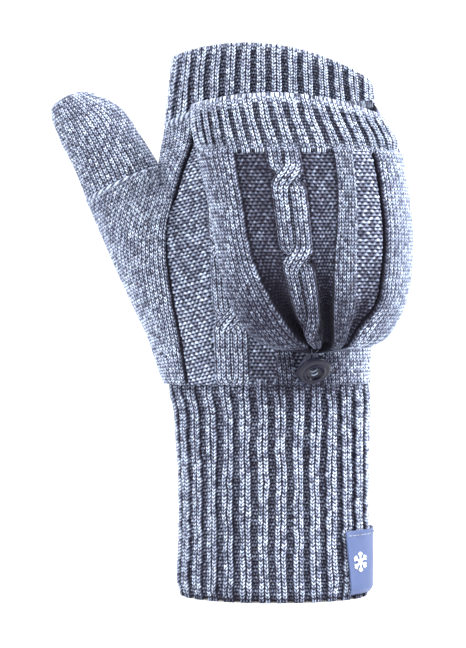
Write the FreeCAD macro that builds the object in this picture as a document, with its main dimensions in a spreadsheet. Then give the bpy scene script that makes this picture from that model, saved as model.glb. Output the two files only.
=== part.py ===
import FreeCAD, Part
import os

# Convertible flip-top mitten for a right hand, standing on its cuff.
# Frame: origin at the centre of the wrist opening, in the plane of the cuff's hem.
# +Z runs to the fingertips, -Y is the back of the hand, -X is the thumb side. Millimetres.
#
# The mitten is a knitted tube: ribbed cuff, hand with a thumb gore, closed thumb and a ribbed
# finger band with an open end. A second pocket, the cap, is sewn along the back of the band. It is
# folded down on the back of the hand, mouth up, and an elastic loop at its tip holds it on a button.

Vector = FreeCAD.Vector
doc = FreeCAD.newDocument("FlipTopMitten")

# ---------------------------------------------------------------- driving dimensions

SIZES = {
    # fabric
    "wall": 3.0,
    "cuff_wall": 3.2,
    "ridge": 0.8,
    # heights up the hand
    "cuff_height": 100.0,
    "band_base": 228.0,
    "band_top": 253.7,
    # finger band's arched top edge
    "arch_radius": 115.0,
    "arch_centre": -15.0,
    # thumb: a leaning tube that starts inside the wrist end of the hand
    "thumb_root_x": -26.6,
    "thumb_root_y": -4.0,
    "thumb_root_z": 100.0,
    "thumb_lean": 25.0,
    "thumb_seam_at": 101.0,
    "thumb_seam_width": 1.6,
    # fold line of the cap
    "fold_y": -27.0,
    "fold_left": -34.0,
    "fold_right": 44.0,
    "fold_radius": 1.0,
    "fold_tab": 0.8,
    # cap
    "panel_half": 1.5,
    "hem_bottom": 202.0,
    "hem_top": 226.0,
    "panel_split": 2.2,
    "knot_half_x": 7.5,
    "knot_half_y": 2.6,
    "knot_half_z": 1.0,
    # button and its thread shank
    "button_x": 17.0,
    "button_y": -35.0,
    "button_z": 107.0,
    "button_radius": 8.0,
    "button_thick": 3.6,
    "ring_outer_share": 0.62,
    "ring_inner_share": 0.42,
    "shoulder_share": 0.8,
    "button_tilt": 44.0,
    "button_roll": 20.0,
    "dish_share": 0.62,
    "hole_offset": 1.4,
    "hole_radius": 0.55,
    "shank_radius": 1.6,
    "shank_root": -22.5,
    "shank_gap": 2.4,
    # elastic loop
    "loop_cord": 1.1,
    "loop_inner": 3.4,
    "loop_y": -28.2,
    # woven label on the cuff
    "label_left": 32.6,
    "motif_x": 39.0,
    "motif_z": 17.5,
    "label_reach": 40.0,
    "label_front": 60.0,
    "label_back": 9.0,
    "label_bottom": 2.5,
    "label_top": 32.0,
    "label_gap": 0.15,
    "label_thick": 0.9,
    "label_row_drop": 2.6,
    "label_row_height": 1.0,
    "motif_radius": 4.2,
    "motif_thick": 0.35,
}

# Each tube is lofted through level elliptical stations:
# height, centre in X, centre in Y, half width, half depth.
STATIONS = {
    "cuff": [
        (0.0, 0.5, 0.0, 45.6, 26.5),
        (50.0, 0.2, 0.0, 44.6, 25.6),
        (100.0, -0.3, 0.0, 46.2, 25.0),
    ],
    "palm": [
        (100.0, -0.3, 0.0, 46.2, 25.0),
        (150.0, -2.0, -4.5, 48.4, 20.5),
        (200.0, -3.0, -10.0, 50.4, 15.0),
        (227.0, -1.2, -13.5, 49.0, 11.0),
    ],
    "band": [
        (229.0, -1.2, -13.5, 48.6, 11.0),
        (262.0, -1.2, -13.5, 45.6, 11.0),
    ],
}

# The gore and thumb stations lie across the leaning axis: distance along it, half width, half depth.
THUMB_STATIONS = {
    "gore": [
        (0.0, 20.0, 18.0),
        (50.0, 20.2, 17.5),
        (101.0, 18.6, 16.0),
    ],
    "thumb": [
        (102.6, 18.5, 15.9),
        (118.0, 17.0, 15.0),
        (134.0, 15.8, 13.6),
        (144.0, 12.8, 11.0),
        (149.5, 8.0, 7.0),
        (151.6, 3.0, 2.6),
    ],
}

# The cap's stations: height, left edge, right edge, how far it stands in front of the fold plane.
CAP_STATIONS = [
    (226.6, -37.5, 46.5, 27.5),
    (209.0, -36.0, 53.5, 31.5),
    (196.0, -32.5, 58.5, 33.0),
    (178.0, -29.0, 60.3, 33.0),
    (160.0, -27.3, 61.0, 31.0),
    (146.0, -23.5, 59.5, 28.0),
    (133.0, -19.0, 55.8, 23.0),
    (122.0, -10.5, 48.5, 15.5),
    (116.6, -1.5, 38.0, 9.0),
]

sheet = doc.addObject("Spreadsheet::Sheet", "dims")
filled_rows = 0


def put(alias, value):
    """Writes one named number into the sheet."""
    global filled_rows
    filled_rows += 1
    sheet.set(f"A{filled_rows}", alias)
    sheet.set(f"B{filled_rows}", str(value))
    sheet.setAlias(f"B{filled_rows}", alias)


for size_name, size_value in SIZES.items():
    put(size_name, size_value)
for tube_name, stations in STATIONS.items():
    for index, station in enumerate(stations):
        for key, value in zip(("height", "mid_x", "mid_y", "half_x", "half_y"), station):
            put(f"{tube_name}{index}_{key}", value)
for tube_name, stations in THUMB_STATIONS.items():
    for index, station in enumerate(stations):
        for key, value in zip(("along", "half_x", "half_y"), station):
            put(f"{tube_name}{index}_{key}", value)
for index, station in enumerate(CAP_STATIONS):
    for key, value in zip(("height", "left", "right", "depth"), station):
        put(f"cap{index}_{key}", value)
doc.recompute()


# ---------------------------------------------------------------- building helpers


def add(kind, name, links=None, **bound):
    """A document object: links are set as values, the other keywords as expressions."""
    made = doc.addObject(kind, name)
    made.Label = name
    for key, value in (links or {}).items():
        setattr(made, key, value)
    for key, expression in bound.items():
        made.setExpression(key.replace("__", "."), expression)
    return made


def place(made, x="0", y="0", z="0", rotation=None):
    """Binds an object's position to the sheet, and sets its rotation."""
    if rotation is not None:
        made.Placement = FreeCAD.Placement(Vector(), rotation)
    for axis, expression in (("x", x), ("y", y), ("z", z)):
        made.setExpression(f"Placement.Base.{axis}", expression)
    return made


def ellipse(name, half_x, half_y, x, y, z, rotation=None):
    made = add("Part::Ellipse", name, MajorRadius=half_x, MinorRadius=half_y)
    return place(made, x, y, z, rotation)


def loft(name, sections):
    return add("Part::Loft", name, {"Sections": sections, "Solid": True, "Ruled": False})


def cut(name, base, tool):
    return add("Part::Cut", name, {"Base": base, "Tool": tool})


def common(name, base, tool):
    return add("Part::Common", name, {"Base": base, "Tool": tool})


def fuse(name, shapes):
    return add("Part::MultiFuse", name, {"Shapes": shapes})


def box(name, length, width, height, x, y, z):
    made = add("Part::Box", name, Length=length, Width=width, Height=height)
    return place(made, x, y, z)


def cylinder(name, radius, height, x, y, z, rotation=None):
    made = add("Part::Cylinder", name, Radius=radius, Height=height)
    return place(made, x, y, z, rotation)


def tube_loft(name, tube, grow="0", low="0", high="0"):
    """Lofts a level tube, its stations grown sideways, its two ends moved by low and high."""
    sections = []
    last = len(STATIONS[tube]) - 1
    for i in range(last + 1):
        shift = low if i == 0 else high if i == last else "0"
        sections.append(
            ellipse(
                f"{name}_ring{i}",
                f"dims.{tube}{i}_half_x + ({grow})",
                f"dims.{tube}{i}_half_y + ({grow})",
                f"dims.{tube}{i}_mid_x",
                f"dims.{tube}{i}_mid_y",
                f"dims.{tube}{i}_height + ({shift})",
            )
        )
    return loft(name, sections)


LEAN = FreeCAD.Rotation(Vector(0, 1, 0), -SIZES["thumb_lean"])


def thumb_ring(name, half_x, half_y, along):
    """An ellipse across the thumb's axis, a distance along it."""
    return ellipse(
        name,
        half_x,
        half_y,
        f"dims.thumb_root_x - ({along}) * sin(dims.thumb_lean)",
        "dims.thumb_root_y",
        f"dims.thumb_root_z + ({along}) * cos(dims.thumb_lean)",
        LEAN,
    )


def thumb_loft(name, tube, grow="0", low="0", high="0", count=None):
    """Lofts a leaning tube through its stations, as tube_loft does."""
    sections = []
    last = (count or len(THUMB_STATIONS[tube])) - 1
    for i in range(last + 1):
        shift = low if i == 0 else high if i == last else "0"
        sections.append(
            thumb_ring(
                f"{name}_ring{i}",
                f"dims.{tube}{i}_half_x + ({grow})",
                f"dims.{tube}{i}_half_y + ({grow})",
                f"dims.{tube}{i}_along + ({shift})",
            )
        )
    return loft(name, sections)


# ---------------------------------------------------------------- hand


def make_cuff():
    outer = tube_loft("cuff_outer", "cuff")
    inner = tube_loft("cuff_inner", "cuff", "-dims.cuff_wall", "-1", "1")
    return cut("wrist_cuff", outer, inner)


def make_hand():
    palm_outer = tube_loft("palm_outer", "palm")
    palm_inner = tube_loft("palm_inner", "palm", "-dims.wall", "-1", "1")
    gore_outer = thumb_loft("gore_outer", "gore")
    gore_inner = thumb_loft("gore_inner", "gore", "-dims.wall", "-1", "1")
    solid = fuse("hand_solid", [palm_outer, gore_outer])
    hollow = fuse("hand_hollow", [palm_inner, gore_inner])
    shell = cut("hand_uncut", solid, hollow)
    below = box("below_hand", "300", "300", "100", "-150", "-150", "dims.cuff_height - 100")
    return cut("hand_shell", shell, below)


def make_thumb():
    outer = thumb_loft("thumb_outer", "thumb")
    inner = thumb_loft("thumb_inner", "thumb", "-dims.wall", "-1", "0", 5)
    return cut("thumb_shell", outer, inner)


def make_thumb_seam():
    """The ridge of picked-up stitches where the thumb starts."""
    along = ("dims.thumb_seam_at", "dims.thumb_seam_at + dims.thumb_seam_width")
    rings = {"outer": ("dims.ridge", "0"), "inner": ("-dims.wall", "1")}
    lofts = []
    for side, (grow, extra) in rings.items():
        sections = []
        for i, (tube, at, way) in enumerate((("gore2", along[0], "-"), ("thumb0", along[1], "+"))):
            sections.append(
                thumb_ring(
                    f"thumb_seam_{side}{i}",
                    f"dims.{tube}_half_x + {grow}",
                    f"dims.{tube}_half_y + {grow}",
                    f"{at} {way} {extra}",
                )
            )
        lofts.append(loft(f"thumb_seam_{side}", sections))
    ring = cut("thumb_seam_ring", lofts[0], lofts[1])
    palm_wall = tube_loft("palm_beside_seam", "palm")
    return cut("thumb_seam", ring, palm_wall)


def make_band():
    outer = tube_loft("band_outer", "band")
    inner = tube_loft("band_inner", "band", "-dims.wall", "-1", "1")
    tube = cut("band_tube", outer, inner)
    arch = cylinder(
        "band_arch",
        "dims.arch_radius",
        "120",
        "dims.arch_centre",
        "60",
        "dims.band_top - dims.arch_radius",
        FreeCAD.Rotation(Vector(1, 0, 0), 90),
    )
    return common("finger_band", tube, arch)


def make_band_seam():
    """The ridge of stitches between the hand and the finger band."""
    lofts = []
    for side, grow, extra in (("outer", "dims.ridge", "0"), ("inner", "-dims.wall", "1")):
        sections = []
        for i, (station, way) in enumerate((("palm3", "-"), ("band0", "+"))):
            sections.append(
                ellipse(
                    f"band_seam_{side}{i}",
                    f"dims.{station}_half_x + {grow}",
                    f"dims.{station}_half_y + {grow}",
                    f"dims.{station}_mid_x",
                    f"dims.{station}_mid_y",
                    f"dims.{station}_height {way} {extra}",
                )
            )
        lofts.append(loft(f"band_seam_{side}", sections))
    return cut("band_seam", lofts[0], lofts[1])


def make_fold_seam():
    """The sewn fold line: a bead on the axis, and the tab that joins it to the band's seam."""
    length = "dims.fold_right - dims.fold_left"
    bead = cylinder(
        "fold_bead",
        "dims.fold_radius",
        length,
        "dims.fold_left",
        "dims.fold_y",
        "dims.band_base",
        FreeCAD.Rotation(Vector(0, 1, 0), 90),
    )
    tab = box(
        "fold_tab_block",
        length,
        "14",
        "2 * dims.fold_tab",
        "dims.fold_left",
        "dims.fold_y",
        "dims.band_base - dims.fold_tab",
    )
    joined = fuse("fold_joined", [bead, tab])
    return cut("cap_fold_seam", joined, doc.getObject("band_seam_outer"))


# ---------------------------------------------------------------- cap


def cap_loft(name, inset, back, top, bottom):
    """Lofts the cap's pocket, inset from its outer face, between its front and a back plane.

    back is the back plane's distance behind the fold plane; top and bottom move the two ends.
    """
    sections = []
    last = len(CAP_STATIONS) - 1
    for i in range(last + 1):
        shift = top if i == 0 else bottom if i == last else "0"
        front = f"(dims.cap{i}_depth - ({inset}))"
        sections.append(
            ellipse(
                f"{name}_ring{i}",
                f"(dims.cap{i}_right - dims.cap{i}_left) / 2 - ({inset})",
                f"({front} + ({back})) / 2",
                f"(dims.cap{i}_right + dims.cap{i}_left) / 2",
                f"dims.fold_y + (({back}) - {front}) / 2",
                f"dims.cap{i}_height + ({shift})",
            )
        )
    return loft(name, sections)


def make_cap():
    """The flat layer on the hand, and the hollow outer layer with its hem."""
    outer = cap_loft("cap_outer", "0", "dims.panel_half", "0", "0")
    inner = cap_loft("cap_inner", "dims.wall", "-dims.wall", "1", "dims.wall")
    split = "dims.fold_y - dims.panel_split"
    back_block = box("back_block", "300", "60", "300", "-150", split, "0")
    pieces = [common("cap_back_panel", outer, back_block)]
    heights = {
        "cap_front_panel": ("0", "dims.hem_bottom"),
        "cap_rib_hem": ("dims.hem_bottom", "dims.hem_top - dims.hem_bottom"),
    }
    for name, (low, height) in heights.items():
        block = box(f"{name}_block", "300", "100", height, "-150", f"{split} - 100", low)
        pieces.append(cut(name, common(f"{name}_solid", outer, block), inner))
    return pieces


def make_tip_gather():
    """The drawn-up stitches that close the cap's tip: a small flattened knot under it."""
    last = len(CAP_STATIONS) - 1
    knot = add(
        "Part::Ellipsoid",
        "cap_tip_gather",
        {"Angle1": -90},
        Radius1="dims.knot_half_z",
        Radius2="dims.knot_half_x",
        Radius3="dims.knot_half_y",
    )
    return place(
        knot,
        "dims.button_x",
        "dims.loop_y",
        f"dims.cap{last}_height - dims.knot_half_z",
    )


# ---------------------------------------------------------------- button and loop


FACE_OUT = FreeCAD.Rotation(Vector(1, 0, 0), 90)
TILT_AXIS = FreeCAD.Rotation(Vector(0, -1, 0), SIZES["button_roll"]).multVec(Vector(1, 0, 0))
FACE_TILT = FreeCAD.Rotation(TILT_AXIS, SIZES["button_tilt"])
BUTTON_TURN = FACE_TILT.multiply(FACE_OUT)


def body_plane(body, role):
    """A body's own origin plane, such as XY_Plane."""
    for feature in body.Origin.OriginFeatures:
        if feature.Role == role:
            return feature
    raise RuntimeError(f"{body.Label} has no {role}")


def sketch_on(body, name, role):
    sketch = body.newObject("Sketcher::SketchObject", name)
    sketch.AttachmentSupport = [(body_plane(body, role), "")]
    sketch.MapMode = "FlatFace"
    return sketch


def make_button():
    """A domed disc with a raised ring round a dished centre, and four thread holes."""
    body = doc.addObject("PartDesign::Body", "button")
    body.Label = "button"
    radius = SIZES["button_radius"]
    thick = SIZES["button_thick"]
    ring_out = radius * SIZES["ring_outer_share"]
    ring_in = radius * SIZES["ring_inner_share"]
    shoulder = thick * SIZES["shoulder_share"]
    dish = thick * SIZES["dish_share"]
    half_profile = [
        (0, 0),
        (radius * 0.7, 0),
        (radius, thick * 0.22),
        (radius, thick * 0.55),
        (radius * 0.86, shoulder),
        (ring_out, shoulder),
        ((ring_out + ring_in) / 2, thick),
        (ring_in, shoulder),
        (ring_in * 0.8, dish),
        (0, dish),
    ]
    profile = sketch_on(body, "button_profile", "XZ_Plane")
    for start, end in zip(half_profile, half_profile[1:] + half_profile[:1]):
        profile.addGeometry(Part.LineSegment(Vector(*start, 0), Vector(*end, 0)), False)
    turned = body.newObject("PartDesign::Revolution", "button_turned")
    turned.Profile = profile
    turned.ReferenceAxis = (profile, ["V_Axis"])
    turned.Angle = 360
    doc.recompute()
    holes = sketch_on(body, "button_holes", "XY_Plane")
    for side_x in (-1, 1):
        for side_y in (-1, 1):
            centre = Vector(side_x * SIZES["hole_offset"], side_y * SIZES["hole_offset"], 0)
            hole = Part.Circle(centre, Vector(0, 0, 1), SIZES["hole_radius"])
            holes.addGeometry(hole, False)
    drilled = body.newObject("PartDesign::Pocket", "button_drilled")
    drilled.Profile = holes
    drilled.Type = "ThroughAll"
    drilled.Midplane = True
    body.Tip = drilled
    return place(body, "dims.button_x", "dims.button_y", "dims.button_z", BUTTON_TURN)


def make_button_stitches():
    """Two short bars of thread across the holes, lying in the dish."""
    bars = []
    for side in (-1, 1):
        bar = box(
            f"stitch_bar{side + 1}",
            "2 * dims.hole_offset + dims.hole_radius",
            "2 * dims.hole_radius",
            "dims.hole_radius",
            "-dims.hole_offset - dims.hole_radius / 2",
            f"{side} * dims.hole_offset - dims.hole_radius",
            "dims.button_thick * dims.dish_share",
        )
        bars.append(bar)
    pair = fuse("button_stitches", bars)
    return place(pair, "dims.button_x", "dims.button_y", "dims.button_z", BUTTON_TURN)


def make_button_shank():
    """The wound thread stem between the fabric and the button, with room for the tilt."""
    stem = cylinder(
        "button_stem",
        "dims.shank_radius",
        "dims.shank_root - dims.button_y - dims.shank_gap",
        "dims.button_x",
        "dims.shank_root",
        "dims.button_z",
        FACE_OUT,
    )
    return cut("button_shank", stem, doc.getObject("palm_outer"))


def make_loop():
    """A ring of elastic cord round the stem, and its neck up to the cap's tip."""
    ring = add(
        "Part::Torus",
        "loop_ring",
        Radius1="dims.loop_inner + dims.loop_cord",
        Radius2="dims.loop_cord",
    )
    place(ring, "dims.button_x", "dims.loop_y", "dims.button_z", FACE_OUT)
    last = len(CAP_STATIONS) - 1
    neck_bottom = "dims.button_z + dims.loop_inner + dims.loop_cord"
    neck = cylinder(
        "loop_neck",
        "1.4 * dims.loop_cord",
        f"dims.cap{last}_height - 2 * dims.knot_half_z - ({neck_bottom})",
        "dims.button_x",
        "dims.loop_y",
        neck_bottom,
    )
    return fuse("elastic_loop", [ring, neck])


# ---------------------------------------------------------------- label


def label_window(name, low, high):
    """A block that takes in the label's width, between two heights."""
    depth = "dims.label_front + dims.label_back"
    height = f"({high}) - ({low})"
    return box(name, "dims.label_reach", depth, height, "dims.label_left", "-dims.label_front", low)


def make_label():
    """A ribbon round the cuff's side, its stitch row, and a six-sided badge on it."""
    skins = [
        tube_loft("label_under", "cuff", "dims.label_gap"),
        tube_loft("label_face", "cuff", "dims.label_gap + dims.label_thick"),
        tube_loft("label_over", "cuff", "dims.label_gap + dims.label_thick + dims.motif_thick"),
    ]
    ribbon = cut("label_ribbon", skins[1], skins[0])
    raised = cut("label_raised", skins[2], skins[1])
    whole = label_window("label_whole", "dims.label_bottom", "dims.label_top")
    row_bottom = "dims.label_top - dims.label_row_drop"
    row = label_window("label_row", row_bottom, f"{row_bottom} + dims.label_row_height")
    badge = add("Part::Prism", "motif_prism", {"Polygon": 6}, Height="60")
    badge.setExpression("Circumradius", "dims.motif_radius")
    place(badge, "dims.motif_x", "0", "dims.motif_z", FACE_OUT)
    return [
        common("woven_label", ribbon, whole),
        common("label_stitches", raised, row),
        common("label_motif", raised, badge),
    ]


# ---------------------------------------------------------------- build, check and write

nodes = [
    make_cuff(),
    make_hand(),
    make_thumb(),
    make_thumb_seam(),
    make_band(),
    make_band_seam(),
    make_fold_seam(),
    *make_cap(),
    make_tip_gather(),
    make_loop(),
    make_button(),
    make_button_stitches(),
    make_button_shank(),
    *make_label(),
]
doc.recompute()

for item in doc.Objects:
    if "Invalid" in item.State or "Error" in item.State:
        raise RuntimeError(f"{item.Label} failed: {item.State}")

os.makedirs("parts", exist_ok=True)
for node in nodes:
    shape = node.Shape
    if shape.isNull() or not shape.isValid() or not shape.Solids:
        raise RuntimeError(f"{node.Label} has no valid solid")
    size = shape.optimalBoundingBox(False)
    print(
        f"{node.Label:18s} {len(shape.Solids)} solid(s) {shape.Volume / 1000:7.2f} cm3",
        f"x {size.XMin:7.1f}..{size.XMax:6.1f}  y {size.YMin:6.1f}..{size.YMax:5.1f}",
        f"z {size.ZMin:6.1f}..{size.ZMax:6.1f}",
    )
    shape.exportStep(f"parts/{node.Label}.step")
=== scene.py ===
import math

import bpy
import numpy as np
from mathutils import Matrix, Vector


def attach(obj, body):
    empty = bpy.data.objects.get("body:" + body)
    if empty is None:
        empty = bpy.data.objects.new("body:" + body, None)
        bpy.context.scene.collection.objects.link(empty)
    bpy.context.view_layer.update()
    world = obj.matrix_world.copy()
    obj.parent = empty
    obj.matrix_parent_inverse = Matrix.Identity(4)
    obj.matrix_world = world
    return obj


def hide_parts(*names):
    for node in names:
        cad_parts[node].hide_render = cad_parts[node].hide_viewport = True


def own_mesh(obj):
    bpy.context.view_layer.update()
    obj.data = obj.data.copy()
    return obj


# A flip-top mitten in a heather knit, its cap folded back on the hand and held on a button.
# Lengths are in millimetres until a mesh is made. The frame is the CAD's: +Z to the fingertips,
# -Y out of the back of the hand, -X to the thumb.

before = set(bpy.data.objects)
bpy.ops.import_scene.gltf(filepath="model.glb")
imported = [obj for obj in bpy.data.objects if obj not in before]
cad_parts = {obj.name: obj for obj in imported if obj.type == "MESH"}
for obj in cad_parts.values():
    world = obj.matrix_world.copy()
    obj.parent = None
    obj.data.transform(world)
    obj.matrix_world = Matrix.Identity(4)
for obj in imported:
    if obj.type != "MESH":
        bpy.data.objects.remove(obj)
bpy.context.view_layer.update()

MM = 0.001
WALE = 2.05            # width of one column of stitches
COURSE = 1.62          # height of one row of stitches
FINE = 7               # mesh columns in a wale, where the mesh follows the stitches
FINE_ROWS = 6          # mesh rows in a course
TURN = 2 * math.pi
UP = np.array([0, 0, 1.0])
RIB = 4 * FINE         # mesh columns in a two-and-two rib
TUBE_RIBS = 28         # ribs round the cuff, and round the finger band
HEM_RIBS = 20          # ribs on the cap's hem

NOISE = np.random.default_rng(7).random((257, 257))
NOISE[256] = NOISE[0]
NOISE[:, 256] = NOISE[:, 0]


# ---------------- small mathematics


def ease(low, high, value):
    """0 below low, 1 above high, smooth between. It falls instead where low is above high."""
    share = np.clip((value - low) / (high - low), 0, 1)
    return share * share * (3 - 2 * share)


def bell(value, width):
    """1 where value is 0, falling off to both sides."""
    return np.exp(-((value / width) ** 2))


def curve_through(table, at):
    """Smooth curves through a table's rows, read at the first column's value."""
    table = np.array(sorted(map(tuple, table)), float)
    keys, values = table[:, 0], table[:, 1:]
    slopes = np.gradient(values, keys, axis=0)
    at = np.clip(at, keys[0], keys[-1])
    low = np.clip(np.searchsorted(keys, at) - 1, 0, len(keys) - 2)
    step = (keys[low + 1] - keys[low])[..., None]
    share = (at[..., None] - keys[low][..., None]) / step
    start, end = values[low], values[low + 1]
    rise, fall = slopes[low] * step, slopes[low + 1] * step
    return (
        start * (2 * share**3 - 3 * share**2 + 1)
        + rise * (share**3 - 2 * share**2 + share)
        + end * (3 * share**2 - 2 * share**3)
        + fall * (share**3 - share**2)
    ).transpose(-1, *range(at.ndim))


def wobble(u, v):
    """Smooth noise from -1 to 1 on a plane."""
    u, v = np.broadcast_arrays(u, v)
    iu, iv = np.floor(u).astype(int), np.floor(v).astype(int)
    fu, fv = u - iu, v - iv
    fu, fv = fu * fu * (3 - 2 * fu), fv * fv * (3 - 2 * fv)
    iu, iv = iu % 256, iv % 256
    low = NOISE[iu, iv] * (1 - fu) + NOISE[iu + 1, iv] * fu
    high = NOISE[iu, iv + 1] * (1 - fu) + NOISE[iu + 1, iv + 1] * fu
    return 2 * (low * (1 - fv) + high * fv) - 1


def run_along(*axes):
    """The distance run along a path at each of its points, from their coordinates."""
    return np.append(0, np.cumsum(np.sqrt(sum(np.diff(axis) ** 2 for axis in axes))))


def smooth_path(points, count):
    """A smooth open path through a few points."""
    points = np.array(points, float)
    run = run_along(*points.T)
    return curve_through(np.column_stack([run, points]), np.linspace(0, run[-1], count)).T


def even_rings(x, y, count):
    """Resamples closed rings, one to a row, at even steps along each."""
    out = np.empty((2, len(x), count))
    for row in range(len(x)):
        px, py = np.append(x[row], x[row, 0]), np.append(y[row], y[row, 0])
        run = run_along(px, py)
        at = np.arange(count) / count * run[-1]
        out[:, row] = np.interp(at, run, px), np.interp(at, run, py)
    return out


def rows_between(low, high, count):
    """A grid's rows at even steps from one row to another."""
    share = np.linspace(0, 1, count)[:, None]
    return low * (1 - share) + high * share


def outward(points, closed=True):
    """Unit normals of a grid, whose columns close on themselves unless it is open."""
    if closed:
        along_u = np.roll(points, -1, axis=1) - np.roll(points, 1, axis=1)
    else:
        along_u = np.gradient(points, axis=1)
    normal = np.cross(along_u, np.gradient(points, axis=0))
    return normal / np.maximum(np.linalg.norm(normal, axis=2, keepdims=True), 1e-9)


# ---------------- stitches


def knit_face(a, b):
    """Relief of plain knitting: two slanting legs to a stitch. a counts wales, b counts courses."""
    side = np.abs(2 * (a - np.floor(a)) - 1)
    leg = np.sin(np.pi * (0.14 + 0.86 * side)) ** 0.75
    phase = b - 0.95 * side
    phase = phase - np.floor(phase)
    return leg * (0.16 + 0.84 * np.sin(np.pi * phase) ** 0.75)


def purl_face(a, b):
    """Relief of the fabric's reverse: rows of short arched bars, each row half a wale on."""
    row = np.floor(b)
    wave = np.cos(TURN * a + np.pi * row)
    off = (b - row - 0.5 - 0.11 * wave) / 0.52
    return np.clip(1 - off * off, 0, 1) ** 0.6 * (0.84 + 0.16 * wave)


def each_stitch(a, b):
    """A random value from -1 to 1 for each stitch."""
    ia, ib = np.floor(a).astype(int) % 251, np.floor(b).astype(int) % 251
    return 2 * NOISE[ia, ib] - 1


def stitch_relief(a, b, purl):
    """Relief and shade of the fabric; purl runs from 0, face, to 1, reverse."""
    a = a + 0.10 * wobble(a * 0.7, b * 0.45)
    b = b + 0.12 * wobble(a * 0.31 + 40, b * 0.5)
    relief = knit_face(a, b) * (1 - purl) + 0.9 * purl_face(a, b) * purl
    relief = relief * (1 + 0.12 * each_stitch(a, b))
    # the shade follows the relief: painted shade in the gaps between stitches, with a random tone
    # to each stitch
    shade = relief * (1 + 0.24 * each_stitch(2 * a + 31, b + 77) + 0.05 * wobble(a / 3, b / 3))
    return relief, np.clip(shade, 0, 1.25)


def stitch_counts(like):
    """Wales along a grid's columns, and courses up its rows."""
    row, column = np.indices(like.shape)
    return column / FINE, row / FINE_ROWS


def ribs(a, height):
    """A two-and-two rib. Returns its stitch coordinate, lift, purl share and tone; the tone is
    painted shade in the purl wales between the raised ones.

    The two raised wales spread over their share of the rib, and the two purl wales draw in
    between them.
    """
    raised = 0.66
    rib = a / 4
    whole = np.floor(rib)
    share = rib - whole
    wale = np.where(share < raised, share / raised * 2, 2 + (share - raised) / (1 - raised) * 2)
    distance = np.abs(share - raised / 2)
    distance = np.minimum(distance, 1 - distance)
    crest = ease(raised / 2 + 0.07, raised / 2 - 0.10, distance)
    lift = height * (2 * crest - 1) - 0.35 * bell(distance, 0.045) * crest
    purl = ease(raised / 2 - 0.02, raised / 2 + 0.03, distance)
    return whole * 4 + wale, lift, purl, 0.74 + 0.26 * crest


def cable(across, b, width, crossings, pinch=0.14):
    """A two-strand cable. across counts wales from its middle; returns lift, wale and edge."""
    quarter = width / 4
    gaps = np.abs(b[..., None] - np.array(crossings))
    offset = (b - np.array(crossings)[np.argmin(gaps, axis=-1)]) / 3.6
    crossing = bell(np.min(gaps, axis=-1), 2.8)
    squeeze = 1 - pinch * crossing
    swing = np.sin(np.pi / 2 * np.clip(offset, -1, 1)) * quarter * squeeze
    over = (across - swing) / (quarter * 1.08 * squeeze * (1 + 0.62 * crossing))
    under = (across + swing) / (quarter * 1.08 * squeeze * (1 + 0.2 * crossing))
    over_lift = np.clip(1 - over**2, 0, 1) ** 0.4 * (1.0 + 0.6 * crossing)
    under_lift = np.clip(1 - under**2, 0, 1) ** 0.4 * (1.0 - 0.3 * crossing)
    wale = np.where(over_lift >= under_lift, over, under) * quarter + 0.5
    edge = np.clip(np.abs(across) / (2 * quarter * squeeze), 0, 1.5)
    return np.maximum(over_lift, under_lift), wale, edge


# ---------------- meshes


def add_object(name, data):
    """Puts a new object in the scene."""
    thing = bpy.data.objects.new(name, data)
    bpy.context.scene.collection.objects.link(thing)
    return thing


def make_mesh(name, points, faces, shade):
    """A smooth mesh of quads from points in millimetres, with a shade for each point."""
    points = points.reshape(-1, 3)
    mesh = bpy.data.meshes.new(name)
    mesh.vertices.add(len(points))
    mesh.vertices.foreach_set("co", (points * MM).astype(np.float32).ravel())
    mesh.loops.add(faces.size)
    mesh.loops.foreach_set("vertex_index", faces.astype(np.int32).ravel())
    mesh.polygons.add(len(faces))
    mesh.polygons.foreach_set("loop_start", np.arange(0, faces.size, 4, dtype=np.int32))
    mesh.polygons.foreach_set("use_smooth", np.ones(len(faces), bool))
    mesh.update(calc_edges=True)
    mesh.validate()
    attribute = mesh.attributes.new("shade", "FLOAT", "POINT")
    attribute.data.foreach_set("value", shade.astype(np.float32).ravel())
    return add_object(name, mesh)


def grid_faces(rows, columns, close_rows=False, close_columns=True):
    """Quads of a grid, its last row joined to its first, and its columns too, where they close."""
    index = np.arange(rows * columns).reshape(rows, columns)
    right, up = np.roll(index, -1, axis=1), np.roll(index, -1, axis=0)
    quads = np.stack([index, right, np.roll(right, -1, axis=0), up], axis=-1)
    quads = quads if close_rows else quads[:-1]
    quads = quads if close_columns else quads[:, :-1]
    return quads.reshape(-1, 4)


def closed_ends(name, grid, shade, end_shades=(0.5, 0.5), strip=False):
    """A mesh of a grid whose columns close, its first and last rows fanned in to a point each.

    In a strip the rows close instead, and the first and last columns are the ends.
    """
    rows, columns = grid.shape[:2]
    index = np.arange(rows * columns).reshape(rows, columns)
    index = index.T if strip else index
    points, faces = [grid.reshape(-1, 3)], [grid_faces(rows, columns, strip, not strip)]
    for number, ring in enumerate((index[0], index[-1])):
        near, middle, far = ring[::2], np.roll(ring, -1)[::2], np.roll(ring, -2)[::2]
        centre = np.full(len(near), rows * columns + number)
        fan = np.column_stack([near, middle, far, centre])
        points.append(points[0][ring].mean(axis=0)[None])
        turned_over = number == 1 if strip else number == 0
        faces.append(fan[:, ::-1] if turned_over else fan)
    shade = np.append(shade, end_shades)
    return make_mesh(name, np.concatenate(points), np.concatenate(faces), shade)


def layers(*parts):
    """Stacks the rows of a skin's grids and of their shades, given in pairs."""
    shades = [np.broadcast_to(shade, grid.shape[:2]) for grid, shade in parts]
    return np.concatenate([grid for grid, _ in parts]), np.concatenate(shades)


def lip(outer_row, inner_row, up, steps=5):
    """Rows that round an edge over, from the outer face to the inner one."""
    middle = (outer_row + inner_row) / 2
    half = (outer_row - inner_row) / 2
    height = np.linalg.norm(half, axis=1, keepdims=True)
    angles = np.pi * np.arange(1, steps) / steps
    return np.stack([middle + half * math.cos(t) + up * height * math.sin(t) for t in angles])


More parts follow.
